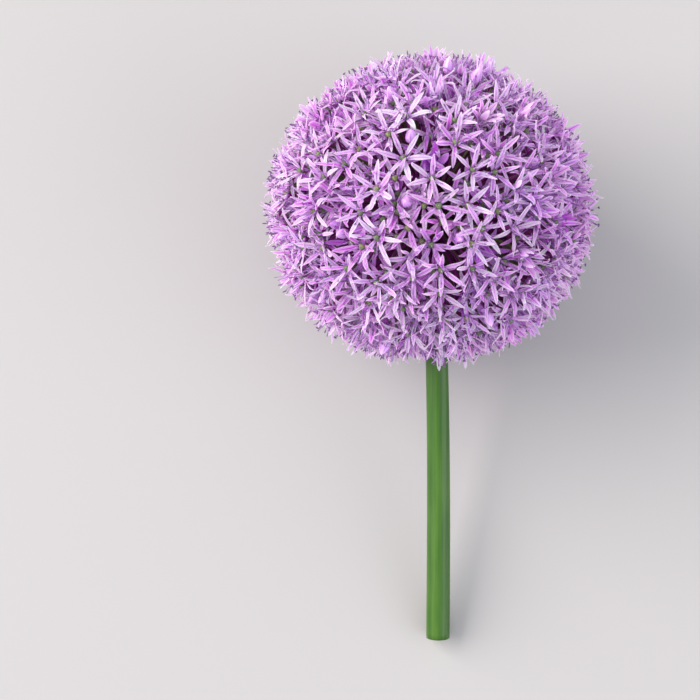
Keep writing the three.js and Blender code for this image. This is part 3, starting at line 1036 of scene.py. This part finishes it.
# ---- stage ----
PHOTO_SIDE = 700                    # pixels
BALL_PIXEL = Vector((430, 212))     # where the photograph shows the ball's centre
BALL_WIDTH_PIXELS = 330
BALL_WIDTH = 150 * MM
CAMERA_ELEVATION = radians(80)
LENS = 100                          # for a sensor 36 wide
SENSOR = 36
LIGHTS = (                          # name, place from the ball in metres, side, watts, colour
    ("Key light", (-3.85, 1.1, 2.55), 4.2, 392, "#FFF6F4"),
    ("Fill light", (3.5, -1.6, 1.5), 4.2, 106, "#F2F1FF"),
)
SKY_COLOUR = "#F4F6FA"
SKY_STRENGTH = 1.02
TABLE_REACH = 6                     # metres from the table's middle to its edges


class FLOWER_OT_stage(bpy.types.Operator):
    """A pale table, soft light and a camera that looks down on the flower"""

    bl_idname = "flower.stage"
    bl_label = "Stage"

    def execute(self, context):
        scene = context.scene
        ball = knob_centre(scene.flower_sizes)
        bm = bmesh.new()
        bmesh.ops.create_grid(bm, x_segments=1, y_segments=1, size=TABLE_REACH)
        mesh = as_mesh("table", bm)
        mesh.materials.append(table_paint(scene.flower_colours))
        add_object("table", mesh)
        for name, place, side, watts, tone in LIGHTS:
            light = bpy.data.lights.new(name, "AREA")
            light.size = side
            light.energy = watts
            light.color = linear(tone)[:3]
            lamp = add_object(name, light)
            lamp.location = ball + Vector(place)
            lamp.rotation_euler = Vector(place).to_track_quat("Z", "Y").to_euler()
        world = bpy.data.worlds.new("Soft sky")
        world.use_nodes = True
        sky = world.node_tree.nodes["Background"].inputs
        sky["Color"].default_value = linear(SKY_COLOUR)
        sky["Strength"].default_value = SKY_STRENGTH
        scene.world = world
        scene.view_settings.view_transform = "Standard"
        self.place_camera(scene, ball)
        return {"FINISHED"}

    def place_camera(self, scene, ball):
        """Puts the ball's centre on its pixel of the photograph, at the photograph's scale."""
        scale = BALL_WIDTH / BALL_WIDTH_PIXELS
        right = Vector((1, 0, 0))
        up = Vector((0, sin(CAMERA_ELEVATION), cos(CAMERA_ELEVATION)))
        back = right.cross(up)
        from_middle = (BALL_PIXEL - Vector((PHOTO_SIDE / 2, PHOTO_SIDE / 2))) * scale
        aim = ball - right * from_middle.x + up * from_middle.y
        camera = bpy.data.cameras.new("Camera")
        camera.lens = LENS
        camera.sensor_width = SENSOR
        holder = add_object("Camera", camera)
        holder.location = aim + back * (PHOTO_SIDE * scale * LENS / SENSOR)
        holder.rotation_euler = back.to_track_quat("Z", "Y").to_euler()
        scene.camera = holder


PIECES = (FLOWER_OT_petals, FLOWER_OT_stamens, FLOWER_OT_ovaries, FLOWER_OT_buds, FLOWER_OT_stalks,
          FLOWER_OT_stem, FLOWER_OT_sheath, FLOWER_OT_stage)


class FLOWER_PT_panel(bpy.types.Panel):
    """Lists the flower's pieces, sizes and colours"""

    bl_idname = "FLOWER_PT_panel"
    bl_label = "Ornamental Onion Flower"
    bl_space_type = "VIEW_3D"
    bl_region_type = "UI"
    bl_category = "Flower"

    def draw(self, context):
        for piece in PIECES:
            self.layout.operator(piece.bl_idname)
        for group in (context.scene.flower_sizes, context.scene.flower_colours):
            for name in group.__annotations__:
                self.layout.prop(group, name)


CLASSES = (FlowerSizes, FlowerColours, *PIECES, FLOWER_PT_panel)


def register():
    for cls in CLASSES:
        bpy.utils.register_class(cls)
    bpy.types.Scene.flower_sizes = bpy.props.PointerProperty(type=FlowerSizes)
    bpy.types.Scene.flower_colours = bpy.props.PointerProperty(type=FlowerColours)


def unregister():
    del bpy.types.Scene.flower_colours
    del bpy.types.Scene.flower_sizes
    for cls in reversed(CLASSES):
        bpy.utils.unregister_class(cls)


def main():
    register()
    bpy.ops.flower.petals()
    bpy.ops.flower.stamens()
    bpy.ops.flower.ovaries()
    bpy.ops.flower.buds()
    bpy.ops.flower.stalks()
    bpy.ops.flower.stem()
    bpy.ops.flower.sheath()
    bpy.ops.flower.stage()


if __name__ == "__main__":
    main()
